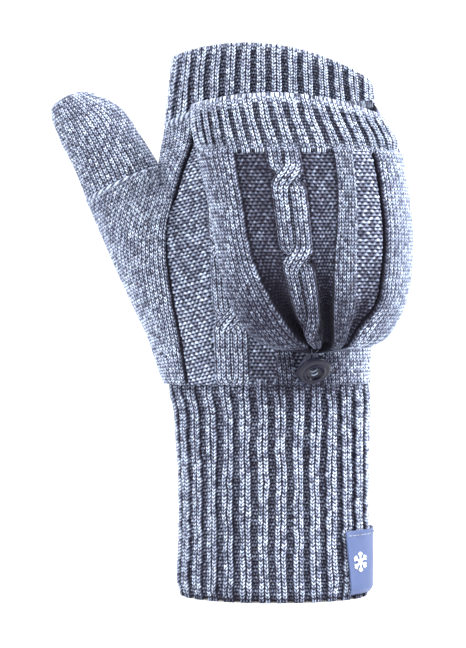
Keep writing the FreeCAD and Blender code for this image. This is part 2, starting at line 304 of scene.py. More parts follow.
def wrapped(outer, inner, shade, steps=5):
    """A skin's rows in turn: outer face, rounded top, inner face downwards, rounded bottom."""
    # the inner face gets painted shade
    return layers(
        (outer, shade),
        (lip(outer[-1], inner[-1], UP, steps), shade[-1]),
        (inner[::-1], 0.35),
        (lip(inner[0], outer[0], -UP, steps), shade[0]),
    )


def shell(name, outer, inner, shade):
    """A closed skin from an outer grid and an inner one, their rows both running up."""
    grid, shades = wrapped(outer, inner, shade)
    return make_mesh(name, grid, grid_faces(*grid.shape[:2], True), shades)


def evenly(grid, rows):
    """A few of a grid's rows, evenly spread, its first and last among them."""
    return grid[np.unique(np.round(np.linspace(0, len(grid) - 1, rows)).astype(int))]


# ---------------- materials


def fill(material, node, **sockets):
    """Fills a node's sockets by name: another node's output is linked, a value is set."""
    for key, value in sockets.items():
        socket = node.inputs[key.replace("_", " ")]
        if isinstance(value, bpy.types.NodeSocket):
            material.node_tree.links.new(value, socket)
        else:
            socket.default_value = value
    return node


def add_node(material, kind, **sockets):
    return fill(material, material.node_tree.nodes.new("ShaderNode" + kind), **sockets)


def start_material(name, **sockets):
    """A material and its shader, the shader's sockets filled."""
    material = bpy.data.materials.new(name)
    material.use_nodes = True
    return material, fill(material, material.node_tree.nodes["Principled BSDF"], **sockets)


def place_on(material):
    """The place on the object, for textures to read."""
    return add_node(material, "TexCoord").outputs["Object"]


def cloudy(material, place, scale):
    """The value of a noise texture."""
    return add_node(material, "TexNoise", Vector=place, Scale=scale).outputs["Fac"]


def roughen(material, shader, height, strength, distance):
    """A fine bump on a shader."""
    bump = add_node(material, "Bump", Height=height, Strength=strength, Distance=distance)
    fill(material, shader, Normal=bump.outputs["Normal"])


def ramp_colour(material, value, stops):
    """A value turned into a colour, through stops of a position and a colour."""
    ramp = add_node(material, "ValToRGB", Fac=value)
    elements = ramp.color_ramp.elements
    elements[0].position, elements[1].position = stops[0][0], stops[-1][0]
    elements[0].color, elements[1].color = (*stops[0][1], 1), (*stops[-1][1], 1)
    for position, colour in stops[1:-1]:
        elements.new(position).color = (*colour, 1)
    return ramp.outputs["Color"]


def heather(name, tint=1.0, sheen=0.03):
    """Marled wool: painted light on the crests and painted shade in the gaps, from the shade
    attribute, and flecks of navy, lilac and grey along the yarn.
    """
    material, shader = start_material(
        name,
        Roughness=0.88,
        Specular_IOR_Level=0.10,
        Sheen_Weight=sheen,
        Sheen_Roughness=0.45,
        Sheen_Tint=(0.82, 0.87, 1.0, 1),
    )
    place = place_on(material)
    # the shade attribute, turned into colour below: painted light on the crests and painted shade
    # in the gaps
    depth = add_node(material, "Attribute")
    depth.attribute_name = "shade"
    stops = [
        (0.00, (0.004, 0.004, 0.007)),
        (0.34, (0.018 * tint, 0.017 * tint, 0.029 * tint)),
        (0.57, (0.086 * tint, 0.098 * tint, 0.145 * tint)),
        (0.78, (0.270 * tint, 0.322 * tint, 0.435 * tint)),
        (1.00, (0.560, 0.645, 0.790)),
    ]
    colour = ramp_colour(material, depth.outputs["Fac"], stops)
    # noise scale, where flecks begin, where they are full, their colour, their strength
    for scale, low, high, fleck, share in (
        (620, 0.50, 0.66, (0.58, 0.56, 0.64), 0.7),
        (1500, 0.52, 0.68, (1.9, 1.85, 1.75), 0.75),
        (1150, 0.56, 0.70, (1.25, 0.95, 0.85), 0.7),
        (38, 0.35, 0.75, (0.86, 0.86, 0.89), 0.7),
    ):
        noise = cloudy(material, place, scale)
        spread = add_node(
            material, "MapRange", Value=noise, From_Min=low, From_Max=high, To_Max=share
        )
        mix = add_node(material, "Mix", Factor=spread.outputs["Result"])
        mix.data_type = "RGBA"
        mix.blend_type = "MULTIPLY"
        mix.inputs[7].default_value = (*fleck, 1)
        material.node_tree.links.new(colour, mix.inputs[6])
        colour = mix.outputs[2]
    fill(material, shader, Base_Color=colour)
    roughen(material, shader, cloudy(material, place, 3200), 0.55, 0.0003)
    return material


def plain_material(name, colour, roughness, bump_scale=0, bump_depth=0.0001, **sockets):
    """A solid material with cloudy variation and, where asked, a fine bump."""
    material, shader = start_material(name, Roughness=roughness, **sockets)
    place = place_on(material)
    stops = [(0.3, [c * 0.75 for c in colour]), (0.7, [min(c * 1.2, 1) for c in colour])]
    cloud = cloudy(material, place, 260)
    fill(material, shader, Base_Color=ramp_colour(material, cloud, stops))
    if bump_scale:
        roughen(material, shader, cloudy(material, place, bump_scale), 0.6, bump_depth)
    return material


def weave_material(name):
    """Blue satin ribbon: fine crossing threads in colour and bump."""
    material, shader = start_material(name, Roughness=0.55, Sheen_Weight=0.08)
    place = place_on(material)
    cross = add_node(material, "Math")
    cross.operation = "MULTIPLY"
    for number, axis in enumerate("XZ"):
        wave = add_node(material, "TexWave", Vector=place, Scale=620, Distortion=0.6)
        wave.bands_direction = axis
        material.node_tree.links.new(wave.outputs["Fac"], cross.inputs[number])
    stops = [(0, (0.030, 0.054, 0.150)), (1, (0.064, 0.104, 0.245))]
    fill(material, shader, Base_Color=ramp_colour(material, cross.outputs[0], stops))
    roughen(material, shader, cross.outputs[0], 0.5, 0.0001)
    return material


YARN = heather("heather_yarn")
# the same yarn made a little lighter for the seam ridges: painted light
EDGE_YARN = heather("seam_yarn", 1.1, 0.05)
BUTTON = plain_material(
    "dark_button", (0.006, 0.007, 0.016), 0.28, 2400, 0.00002, Specular_IOR_Level=0.16
)
# near-black plugs for the button's holes: painted shade
HOLE_SHADE = plain_material("button_pit", (0.004, 0.004, 0.006), 0.8)
THREAD = plain_material("pale_thread", (0.17, 0.20, 0.28), 0.75, 3000)
ELASTIC = plain_material("elastic", (0.10, 0.11, 0.17), 0.7, 2600)
MOTIF = plain_material("white_thread", (0.80, 0.82, 0.86), 0.65, 3000)
LABEL = weave_material("label_weave")


def finish_piece(piece, material, body, slot, *nodes):
    """Dresses a piece, attaches it to its body and hides the CAD parts it stands in for."""
    piece.data.materials.append(material)
    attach(piece, body)
    if nodes:
        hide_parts(*nodes)
    return piece


def finish_row(pieces, material, body, slot, node):
    """Dresses pieces that stand for one node together, the first of them by name."""
    finish_piece(pieces[0], material, body, slot, node)
    for piece in pieces[1:]:
        finish_piece(piece, material, body, slot)


# ---------------- outlines of the tubes

# height, centre in X, centre in Y, half width, half depth
CUFF = [(0, 0.5, 0, 45.6, 26.5), (50, 0.2, 0, 44.6, 25.6), (100, -0.3, 0, 46.2, 25)]
PALM = [
    (100, -0.3, 0, 46.2, 25),
    (150, -2, -4.5, 48.4, 20.5),
    (200, -3, -10, 50.4, 15),
    (227, -1.2, -13.5, 49, 11),
]
BAND_X, BAND_Y, BAND_Z = -1.2, -13.5, 229.0
BAND = [
    (215, BAND_X, BAND_Y, 49.4, 11),
    (BAND_Z, BAND_X, BAND_Y, 48.6, 11),
    (262, BAND_X, BAND_Y, 45.6, 11),
]

# distance along the thumb's axis, half width, half depth
GORE = [(0, 20, 18), (50, 20.2, 17.5), (101, 18.6, 16)]
THUMB = [
    (101, 18.6, 16),
    (118, 17.0, 15.0),
    (136, 15.1, 13.0),
    (143.5, 11.8, 10.6),
    (148, 7.2, 6.8),
    (149.6, 2.2, 2.0),
]
THUMB_ROOT = np.array([-26.6, -4.0, 100.0])
LEAN = math.radians(25)
THUMB_UP = np.array([-math.sin(LEAN), 0, math.cos(LEAN)])
THUMB_ACROSS = np.array([math.cos(LEAN), 0, math.sin(LEAN)])
PALMWARD = np.array([0, 1.0, 0])
SEAM_AT = 101.0
GORE_DRIFT = 6.5       # how far the gore's axis moves to the back of the hand over its height

# The cap: height, left edge, right edge, depth in front of the fold plane.
FOLD_Y = -27.0
FOLD_Z = 228.0
CAP_LOW = 116.6
CAP = [
    (226.6, -37.5, 44.0, 27.5),
    (216, -36.8, 49.3, 30.2),
    (205, -34.8, 54.8, 32.2),
    (194, -32.0, 57.6, 33),
    (178, -28.6, 59.7, 33),
    (161, -25.8, 60.4, 31.5),
    (148, -22.5, 59.8, 28.5),
    (138, -19.0, 58.4, 25),
    (128, -13.0, 54.2, 19.5),
    (121, -6.5, 49.5, 14),
    (CAP_LOW, -0.5, 43.5, 9),
]


def ellipse_rows(table, z, count):
    """Outlines of a level elliptical tube, one to a height, from its left end over the front."""
    mid_x, mid_y, half_x, half_y = curve_through(table, np.atleast_1d(z)[:, None])
    angle = np.linspace(0, TURN, count, endpoint=False)
    return mid_x - half_x * np.cos(angle), mid_y - half_y * np.sin(angle)


def level_tube(table, heights, columns):
    """A grid of a level tube's points, its columns evenly spread round it."""
    return even_rings(*ellipse_rows(table, heights, 720), columns)


def band_base(x):
    """The arched line where the finger band starts."""
    return BAND_Z - 10.5 * ((x + 1) / 49) ** 2


def band_top(x):
    """The arched opening of the finger band."""
    return 254.3 - 125 + np.sqrt(125**2 - (x + 15) ** 2)


def under_tip(x):
    """1 across the fabric that lies under the cap's tip, 0 at both sides of it: where the painted
    shadow under the cap falls.
    """
    return ease(-22, 0, x) * ease(44, 24, x)


# ---------------- knitted pieces


def dress(base, a, b, lift, purl, depth, sink=0.6):
    """Raises a base grid into stitches. Returns the outer points and their shade."""
    relief, shade = stitch_relief(a, b, purl)
    return base + outward(base) * (lift + depth * relief - sink)[..., None], shade


def make_cuff():
    """The ribbed cuff, with a rounded hem."""
    columns, rows = TUBE_RIBS * RIB, 62 * FINE_ROWS
    heights = np.linspace(1.2, 101.0, rows)
    x, y = level_tube(CUFF, heights, columns)
    z = heights[:, None] + 0 * x
    a, b = stitch_counts(z)
    sway = 0.5 * wobble(a / 9, z / 26) * ease(0, 30, z)
    x = x + sway - 3.4 * ease(84, 103, z) * ease(-15, -44, x)
    base = np.stack([x, y, z], axis=-1)
    base = base - outward(base) * (1.7 * ease(9, 0, z))[..., None]
    drift = 0.30 * wobble(a / 4, z / 14) + 0.12 * wobble(a / 2, z / 5)
    a, lift, purl, tone = ribs(a + drift, 1.15)
    hem, top = ease(7, 1, z), ease(92, 99.5, z)
    lift = lift * (1 - 0.7 * hem) * (1 - 0.75 * top) + 0.4 * hem - 0.4 * top
    outer, shade = dress(base, a, b, lift - 0.75, purl, 0.9)
    # painted shadow under the cap's tip; painted shade on the underside of the rolled hem at the
    # bottom, and the rib's painted shade fading out near the top
    shadow_under_cap = 1 - 0.32 * ease(84, 100, z) * (y < 0) * under_tip(x)
    shade = shade * (tone + (0.9 - tone) * top) * shadow_under_cap * (1 - 0.3 * ease(4, 1, z)) + 0.02
    inner = evenly(base - outward(base) * 3.0, 60)
    piece = shell("knit_cuff", outer, inner, shade)
    return finish_piece(piece, YARN, "hand", "heather_rib", "wrist_cuff")


def make_band():
    """The ribbed finger band, open at its arched top."""
    columns, rows = TUBE_RIBS * RIB, 17 * FINE_ROWS
    x, y = level_tube(BAND, 240.0, columns)
    z = rows_between(band_base(x), band_top(x), rows)
    x = BAND_X + (x - BAND_X) * (1 - 0.0022 * (z - BAND_Z))
    base = np.stack([x, y + 0 * z, z], axis=-1)
    a, b = stitch_counts(z)
    a, lift, purl, tone = ribs(a + 0.25 * wobble(a / 4, z / 10), 1.1)
    edge = ease(rows - 18, rows - 2, np.arange(rows))[:, None]
    lift = lift * (1 - 0.8 * edge) + 0.4 * edge
    outer, shade = dress(base, a, b, lift - 0.5, purl, 0.9)
    # the rib's painted shade fades near the top edge, and the whole band is lifted lighter: painted
    # light from above
    shade = shade * (tone + (1 - tone) * 0.6 * edge) + 0.07
    inner = evenly(base - outward(base) * 2.6, 20)
    piece = shell("knit_finger_band", outer, inner, shade)
    return finish_piece(piece, YARN, "hand", "heather_rib", "finger_band")


PALM_COLUMNS = 96 * FINE
LOBE_COLUMNS = 48 * FINE       # the thumb side's, up to the thumb
SIDE_COLUMNS = 16 * FINE       # the thumb side's, above it
HAND_LOW = 99.3
SPLIT_Z = 200.0                # height of the crotch between thumb and hand

# Lines on the back of the hand: height, X
THUMB_LINE = [(100, -40.5), (129, -45), (143, -48), (158, -49), (171, -48.8), (185, -46)]
THUMB_LINE += [(199, -41.8), (209, -38), (228, -36)]
CABLE_LINE = [(100, -26.6), (138, -28.4), (171, -30.3), (228, -31.0)]
HAND_BORDER = [(100, -41.0), (130, -45.5), (158, -49.0), (200, -50.0), (228, -48)]
HAND_CABLE = 16.0              # width of the cable beside the thumb


def hand_outlines(levels, samples=900):
    """The union of the palm's and the gore's outlines at each level, softened where they meet."""
    angle = np.linspace(0, TURN, samples, endpoint=False)[None, :]
    z = levels[:, None]
    along = (z - THUMB_ROOT[2]) / math.cos(LEAN)
    half_x, half_y = curve_through(GORE, along)
    gore_x = THUMB_ROOT[0] - along * math.sin(LEAN) - 2.6 * ease(124, 101, z)
    gore_y = THUMB_ROOT[1] - GORE_DRIFT * ease(100, 200, z)
    share = (z - 100) / 100
    centre_x, centre_y = -38 - 11.3 * share, -2 - 8 * share
    dx, dy = -np.cos(angle), -np.sin(angle)

    def reach(mid_x, mid_y, rx, ry):
        ox, oy = (centre_x - mid_x) / rx, (centre_y - mid_y) / ry
        ux, uy = dx / rx, dy / ry
        qa = ux * ux + uy * uy
        qb = ox * ux + oy * uy
        qc = np.minimum(ox * ox + oy * oy - 1, -0.001)
        return (-qb + np.sqrt(qb * qb - qa * qc)) / qa

    palm = reach(*curve_through(PALM, z))
    gore = reach(gore_x, gore_y, half_x / math.cos(LEAN), half_y)
    soft = 7.0
    meet = np.maximum(soft - np.abs(palm - gore), 0) / soft
    r = np.maximum(palm, gore) + meet * meet * soft / 5
    return centre_x + dx * r, centre_y + dy * r


def split_outlines(x, y, heights, side_columns):
    """Resamples outlines, one to a height, from the front border round the palm to the thumb side.

    The palm has the same number of columns at each height, and the thumb side has its own.
    """
    out = np.empty((len(x), PALM_COLUMNS + side_columns, 2))
    for row, border in enumerate(curve_through(HAND_BORDER, heights)[0]):
        first = np.argmin(x[row])
        px, py = np.roll(x[row], -first), np.roll(y[row], -first)
        right = np.argmax(px)
        front = np.searchsorted(px[:right], border)
        back = right + np.searchsorted(-px[right:], -border)
        px, py = np.append(px, px[0]), np.append(py, py[0])
        run = run_along(px, py)
        palm_at = np.linspace(run[front], run[back], PALM_COLUMNS + 1)[:-1]
        side_at = np.linspace(run[back], run[front] + run[-1], side_columns + 1)[:-1]
        at = np.append(palm_at, side_at % run[-1])
        out[row] = np.column_stack([np.interp(at, run, px), np.interp(at, run, py)])
    return out


def seam_height(x):
    """Height of the thumb's seam plane."""
    middle = THUMB_ROOT + SEAM_AT * THUMB_UP
    return middle[2] + math.tan(LEAN) * (x - middle[0])


def hand_grids():
    """The hand below the thumb's crotch, and the hand above it, sharing the palm's columns."""
    palm = PALM_COLUMNS
    levels = np.linspace(99.0, 206.0, 90)
    outlines = split_outlines(*hand_outlines(levels), levels, LOBE_COLUMNS)

    def at_height(z):
        place = np.clip((z - levels[0]) / (levels[1] - levels[0]), 0, len(levels) - 1.001)
        low = place.astype(int)
        share = (place - low)[..., None]
        column = np.arange(z.shape[1])
        return outlines[low, column] * (1 - share) + outlines[low + 1, column] * share

    top = np.full((1, palm + LOBE_COLUMNS), SPLIT_Z)
    for _ in range(12):
        wanted = np.minimum(seam_height(at_height(top)[..., 0]), SPLIT_Z)
        top[:, palm:] = 0.5 * top[:, palm:] + 0.5 * wanted[:, palm:]
    z = rows_between(HAND_LOW, top, 62 * FINE_ROWS)
    lower = np.dstack([at_height(z), z])

    rows = 18 * FINE_ROWS
    heights = SPLIT_Z + np.linspace(0, 1, rows) * 29
    outline = split_outlines(*ellipse_rows(PALM, heights, 900), heights, SIDE_COLUMNS)
    gap = np.zeros((palm + SIDE_COLUMNS, 2))
    gap[:palm] = lower[-1, :palm, :2] - outline[0, :palm]
    gap[palm:] = rows_between(gap[palm - 1], gap[0], SIDE_COLUMNS)
    outline += gap * (1 - ease(0, 12, heights - SPLIT_Z))[:, None, None]
    upper = np.dstack([outline, rows_between(SPLIT_Z, band_base(outline[..., 0]) + 1.5, rows)])
    return lower, upper


def hand_pattern(grid, rows_done):
    """Stitch coordinates, lift, purl share and tone over one of the hand's grids; the tone is
    painted shade in the grooves and a painted shadow under the cap's tip.
    """
    palm = PALM_COLUMNS
    x, z = grid[..., 0], grid[..., 2]
    a, b = stitch_counts(z)
    b = b + rows_done
    index = np.arange(grid.shape[1])[None, :]
    step = np.linalg.norm(np.diff(grid, axis=1, append=grid[:, :1]), axis=2)
    run = np.cumsum(step, axis=1) - step
    thumb_line = curve_through(THUMB_LINE, z)[0]
    cable_left = curve_through(CABLE_LINE, z)[0]

    # arc length from the thumb line, on the front
    past_line = (index < palm * 0.45) & (x >= thumb_line)
    start = np.argmin(np.where(past_line, x - thumb_line, 1e9), axis=1)
    line_run = run[np.arange(len(grid)), start][:, None]
    thumb_side = palm + np.argmin(x[:, palm:], axis=1)[:, None]
    total = np.sum(step, axis=1, keepdims=True)
    from_line = np.where(index >= thumb_side, run - total, run) - line_run
    left = from_line < 0
    behind = (index >= palm) & (index < thumb_side)
    a = np.where(left, from_line / WALE, a)
    a = np.where(behind, (palm - 1) / FINE + (run - run[:, palm - 1 : palm]) / WALE, a)

    # a purl panel between the thumb line and the cable, and two more right of the cable
    is_front = (index < palm * 0.5) & ~left
    panel = is_front & (x < cable_left)
    across = x - cable_left - HAND_CABLE / 2
    on_cable = is_front & (np.abs(across) < HAND_CABLE / 2 + 0.6)
    crossings = (-20, 0, 20, 40)
    c_lift, c_wale, c_edge = cable(
        across / WALE, (z - 129) / COURSE, HAND_CABLE / WALE, crossings
    )
    lift = np.where(on_cable, 1.9 * c_lift - 0.3, 0)
    purl = np.where(on_cable, ease(0.9, 1.05, c_edge), panel)
    a = np.where(on_cable, c_wale, a)
    beyond = across - HAND_CABLE / 2
    for start, end in ((0, 12), (20, 33)):
        purl = np.where(is_front & (beyond > start) & (beyond < end), 1.0, purl)
    b = np.where(panel, b - 0.26 * (x - thumb_line) / COURSE, b)

    groove = bell(from_line, 0.75) * ((index < palm * 0.5) | (index > thumb_side))
    cable_edge = bell(x - cable_left, 0.8) * is_front
    lift = lift - 0.9 * purl + 0.7 * ease(-9, -1, from_line) * left
    lift = lift - 1.5 * groove - 0.8 * cable_edge
    # painted shadow under the cap's tip; painted shade in the grooves and a little on the purl
    shadow_under_cap = ease(130, 108, z) * under_tip(x) * is_front
    tone = (1 - 0.65 * groove) * (1 - 0.04 * purl) * (1 - 0.32 * shadow_under_cap)
    return a, b, lift, purl, tone


def make_hand():
    """The hand with its thumb gore, as one skin with holes for the thumb, cuff and band."""
    palm = PALM_COLUMNS
    lower, upper = hand_grids()
    skins = []
    for grid, rows_done in ((lower, 0), (upper, (len(lower) - 1) / FINE_ROWS)):
        a, b, lift, purl, tone = hand_pattern(grid, rows_done)
        outer, shade = dress(grid, a, b, lift, purl, 0.85)
        skins.append([outer, grid - outward(grid) * 3.8, shade * tone + 0.03])
    for side in (0, 1):
        skins[1][side][0, :palm] = skins[0][side][-1, :palm]
    (outer_low, inner_low, shade_low), (outer_up, inner_up, shade_up) = skins

    def coarse(grid):
        return grid[np.unique(np.append(np.arange(0, len(grid), 6), len(grid) - 1))]

    def lobe_ring(*rows):
        return np.stack([np.append(row[palm:], row[:1], axis=0) for row in rows])

    # each patch: its grid, its shade, whether it faces in, whether its columns close
    # the inner faces and the rims round the thumb's hole get painted shade
    patches = (
        (outer_low, shade_low, False, True),
        (outer_up, shade_up, False, True),
        (coarse(inner_low), 0.3, True, True),
        (coarse(inner_up), 0.3, True, True),
        (np.stack([inner_low[0], outer_low[0]]), shade_low[0], False, True),
        (np.stack([outer_up[-1], inner_up[-1]]), shade_up[-1], False, True),
        (lobe_ring(outer_low[-1], inner_low[-1]), 0.3, False, False),
        (lobe_ring(inner_up[0], outer_up[0]), 0.3, False, False),
    )
    points, faces, shades = [], [], []
    count = 0
    for grid, shade, faces_in, closed in patches:
        rows, columns = grid.shape[:2]
        quads = grid_faces(rows, columns, False, closed)
        faces.append((quads[:, ::-1] if faces_in else quads) + count)
        points.append(grid.reshape(-1, 3))
        shades.append(np.broadcast_to(shade, (rows, columns)).ravel())
        count += rows * columns

    # the patches' shared edges become one
    points, faces, shades = np.concatenate(points), np.concatenate(faces), np.concatenate(shades)
    keys = np.round(points * 2000).astype(np.int64)
    _, first, where = np.unique(keys, axis=0, return_index=True, return_inverse=True)
    piece = make_mesh("knit_hand", points[first], where.reshape(-1)[faces], shades[first])
    return finish_piece(piece, YARN, "hand", "heather_knit", "hand_shell")


def make_thumb():
    """The closed thumb: a leaning tube whose wales run to its tip."""
    columns, rows = 46 * FINE, 33 * FINE_ROWS
    along = np.linspace(SEAM_AT - 0.5, 149.6, rows)[:, None]
    half_x, half_y = curve_through(THUMB, along)
    angle = np.linspace(0, TURN, 400, endpoint=False)
    u, v = even_rings(-half_x * np.cos(angle), -half_y * np.sin(angle), columns)
    u = u - 0.0020 * (along - SEAM_AT) ** 2 - 1.9 * ease(SEAM_AT + 31, SEAM_AT + 48, along)
    v = v - 0.92 * GORE_DRIFT
    base = THUMB_ROOT + along[..., None] * THUMB_UP
    base = base + u[..., None] * THUMB_ACROSS + v[..., None] * PALMWARD
    a, b = stitch_counts(u)
    tip = ease(0.35, 0.05, half_x / 18.6)
    outer, shade = dress(base, a, b, 0.1 + 0 * u, 0 * u, 0.85 * (1 - 0.8 * tip))
    thick = np.minimum(2.6, half_x * 0.6)[..., None]
    inner = evenly(base - outward(base) * thick, 40)
    # the inner face gets painted shade
    grid, shades = layers(
        (inner[::-1], 0.3), (lip(inner[0], outer[0], -THUMB_UP), shade[0]), (outer, shade)
    )
    piece = closed_ends("knit_thumb", grid, shades, (0.4, shade[-1].mean()))
    return finish_piece(piece, YARN, "hand", "heather_knit", "thumb_shell")


# ---------------- cap

# Where the cap's panels meet, as shares of its width, at each height.
CAP_PANELS = [
    (226.6, 0.200, 0.350, 0.510, 0.680, 0.770, 0.856),
    (187, 0.160, 0.312, 0.487, 0.640, 0.728, 0.853),
    (148, 0.185, 0.318, 0.485, 0.582, 0.700, 0.848),
    (133, 0.235, 0.335, 0.490, 0.570, 0.700, 0.818),
    (122, 0.290, 0.360, 0.490, 0.577, 0.680, 0.738),
    (CAP_LOW, 0.350, 0.390, 0.485, 0.583, 0.690, 0.750),
]
CAP_WALES = (12, 6, 8, 6, 6, 5, 12)       # wales in each panel, from the thumb side
KNIT_COLUMN, VALLEY, CABLE, PANEL, SIDE, BACK = range(6)
CAP_KINDS = (KNIT_COLUMN, VALLEY, CABLE, VALLEY, KNIT_COLUMN, PANEL, SIDE)
CABLE_WALES = CAP_WALES[CAP_KINDS.index(CABLE)]
CAP_BACK_COLUMNS = 46 * FINE
CAP_COURSES = 56
HEM_LOW = 203.0


def hem_top(x):
    """The arched upper edge of the cap's hem."""
    right, left = np.maximum(x - 2, 0) / 44.5, np.maximum(2 - x, 0) / 38
    return 226.4 - 7.8 * right**2 - 3.6 * left**2


def cap_point(z, turn, inset=0.0):
    """A point of the cap's outline; turn runs from 0 at the left edge, over the front, to pi."""
    left, right, depth = curve_through(CAP, z)
    back = 1.2
    mid_x, half_x = (left + right) / 2, (right - left) / 2 - inset
    mid_y, half_y = FOLD_Y + (back - depth) / 2, (depth + back) / 2 - inset
    square = np.where(turn > math.pi, 0.45, 0.88)
    wave = np.sin(turn)
    return mid_x - half_x * np.cos(turn), mid_y - half_y * np.sign(wave) * np.abs(wave) ** square


def cap_grid():
    """The cap's base grid, with the turn, the kind and the place in its panel of each column."""
    counts = [wales * FINE for wales in CAP_WALES]
    front, back, rows = sum(counts), CAP_BACK_COLUMNS, CAP_COURSES * FINE_ROWS
    column = np.arange(front + back)[None, :]
    behind = ease(-2, 8, np.minimum(column - front, front + back - column))
    top = HEM_LOW + 2.0 + behind * (FOLD_Z - 1.2 - HEM_LOW - 2.0)
    z = rows_between(CAP_LOW, top, rows)
    height = z[:, :1]
    edges = [0 * height, *np.arccos(1 - 2 * curve_through(CAP_PANELS, height))]
    edges.append(0 * height + math.pi)
    places = [np.arange(count)[None, :] / count for count in counts]
    turns = [low * (1 - at) + high * at for low, high, at in zip(edges, edges[1:], places)]
    turns.append(0 * height + math.pi + math.pi * np.arange(back) / back)
    turn = np.concatenate(turns, axis=1)
    kind = np.repeat((*CAP_KINDS, BACK), (*counts, back))[None, :]
    inside = np.concatenate([*places, np.zeros((1, back))], axis=1)
    base = np.stack([*cap_point(z, turn), z], axis=-1)
    return base, turn, kind, inside, column, front


def make_cap():
    """The cap's pocket: panels and a cable in front, plain knitting behind, gathered at its tip."""
    base, turn, kind, inside, column, front = cap_grid()
    x, z = base[..., 0], base[..., 2]
    a, b = stitch_counts(z)
    b[:, front:] = (z[:, front:] - CAP_LOW) / COURSE
    tip = ease(165, 122, z)
    dip = np.clip(np.sin(np.pi * inside), 0, 1)
    on_cable, on_valley, on_panel = kind == CABLE, kind == VALLEY, kind == PANEL

    across = (inside - 0.5) * CABLE_WALES
    per_mm = CAP_COURSES / (HEM_LOW + 2 - CAP_LOW)
    crossings = [(height - CAP_LOW) * per_mm for height in (190.5, 155.5, 126)]
    c_lift, c_wale, c_edge = cable(across, b, CABLE_WALES * 0.94, crossings)
    a = np.where(on_cable, c_wale, a)
    purl = np.where(on_cable, ease(0.92, 1.1, c_edge), on_valley | on_panel)

    lift = np.select(
        [on_valley, on_panel, kind == KNIT_COLUMN, kind == SIDE],
        [
            -1.5 - 5.0 * tip * dip**0.6 - 0.5 * dip,
            -0.5 - 2.4 * tip * dip,
            0.2 + (1.3 + 2.3 * tip) * dip**0.5,
            0.5 + 0.5 * tip,
        ],
    )
    lift = lift + 0.5 * wobble(turn * 2.2, z / 17) * ease(116, 124, z)
    lift = np.where(on_cable, -1.2 + 2.9 * c_lift * (1 + 0.3 * tip) + 1.0 * tip, lift)
    groove = bell(column - sum(CAP_WALES[:6]) * FINE, 3.2)
    lift = (lift - 2.6 * groove) * (1 - 0.7 * ease(121, 115.5, z))
    lift = lift - 2.4 * ease(HEM_LOW - 1.5, HEM_LOW + 1.5, z) * (kind != BACK)
    wale = np.linalg.norm(np.diff(base, axis=1, append=base[:, :1]), axis=2) * FINE
    depth = 0.9 * (0.35 + 0.65 * ease(0.4, 1.1, wale))
    outer, shade = dress(base, a, b, lift, purl, depth, 0.7)

    # painted shade: the valleys and the panel darken towards the tip, the thumb-side valley more,
    # the cable in its sunk strands, the groove and the valley edges too, and everything but the
    # right side, most over the lower cap
    tone = np.where(on_valley, 0.80 - 0.12 * (x < 15) - 0.34 * tip * dip**0.5, 1.0)
    tone = np.where(on_panel, 0.95 - 0.2 * tip * dip, tone)
    tone = np.where(on_cable, 0.62 + 0.42 * np.clip(c_lift, 0, 1), tone)
    tone = tone * (1 - 0.8 * groove) * (1 - (0.08 + 0.27 * tip) * (kind != SIDE))
    valley_edge_shadow = bell(np.minimum(inside, 1 - inside) * CAP_WALES[0], 0.8) * on_valley
    tone = tone * (1 - 0.35 * valley_edge_shadow)
    # painted light: the right side grows paler towards its edge
    soft = 0.4 * (kind == SIDE) * ease(44, 56, x)
    shade = shade * tone * (1 - soft) + 0.72 * soft + 0.03

    # the drawn-up tip: rings that close in on a point under the last row
    point = np.array([17.0, -31.0, 114.4])
    steps = np.array([0.12, 0.35, 0.62, 0.84])[:, None, None]
    tip_rings = point + (outer[:1] - point) * steps - UP * (1 - steps)

    thick = 2.2 + np.maximum(-lift, 0)
    inner = base - outward(base) * thick[..., None]
    inner[..., 2] = z + 2.4 * np.linspace(1, 0, len(z))[:, None]
    inner = inner[:: 2 * FINE_ROWS]
    # painted shade: the tip's rings darker than the knitting above, darkest at the point, and the
    # inner face dark
    grid, shades = layers(
        (tip_rings, shade[0] * 0.6),
        (outer, shade),
        (lip(outer[-1], inner[-1], UP), shade[-1]),
        (inner[::-1], 0.3),
    )
    piece = closed_ends("knit_cap", grid, shades, (0.1, 0.3))
    return finish_piece(piece, YARN, "cap", "heather_knit", "cap_front_panel", "cap_back_panel")


def make_hem():
    """The ribbed hem of the cap's mouth, a strip round its front."""
    columns, rows = HEM_RIBS * RIB, 15 * FINE_ROWS
    turn = np.linspace(0.02, math.pi - 0.02, columns)[None, :]
    x, _ = cap_point(np.full((1, columns), 215.0), turn)
    z = rows_between(HEM_LOW, hem_top(x), rows)
    x, y = cap_point(z, turn, 0.5)
    base = np.stack([x, y, z], axis=-1)
    normal = outward(base, False)
    a, b = stitch_counts(z)
    a, lift, purl, tone = ribs(a + 0.25 * wobble(a / 4, z / 8), 1.1)
    top, low = ease(-5.0, -1.6, z - hem_top(x)), ease(HEM_LOW + 5, HEM_LOW + 0.5, z)
    lift = lift * (1 - 0.97 * top) * (1 - 0.8 * low) + 1.1 * top - 0.8 * low
    relief, shade = stitch_relief(a, b, purl)
    outer = base + normal * (lift - 0.6 + 0.85 * relief * (1 - 0.55 * top))[..., None]
    # the whole hem is lifted lighter, its top edge more: painted light from above
    shade = shade * (tone + (1 - tone) * np.maximum(top, 0.5 * low)) + 0.05 + 0.02 * top
    inner = evenly(base - normal * 3.0, 16)
    grid, shades = wrapped(outer, inner, shade, 7)
    piece = closed_ends("knit_cap_hem", grid, shades, (0.3, 0.3), True)
    return finish_piece(piece, YARN, "cap", "heather_rib", "cap_rib_hem")


# ---------------- tubes along a path


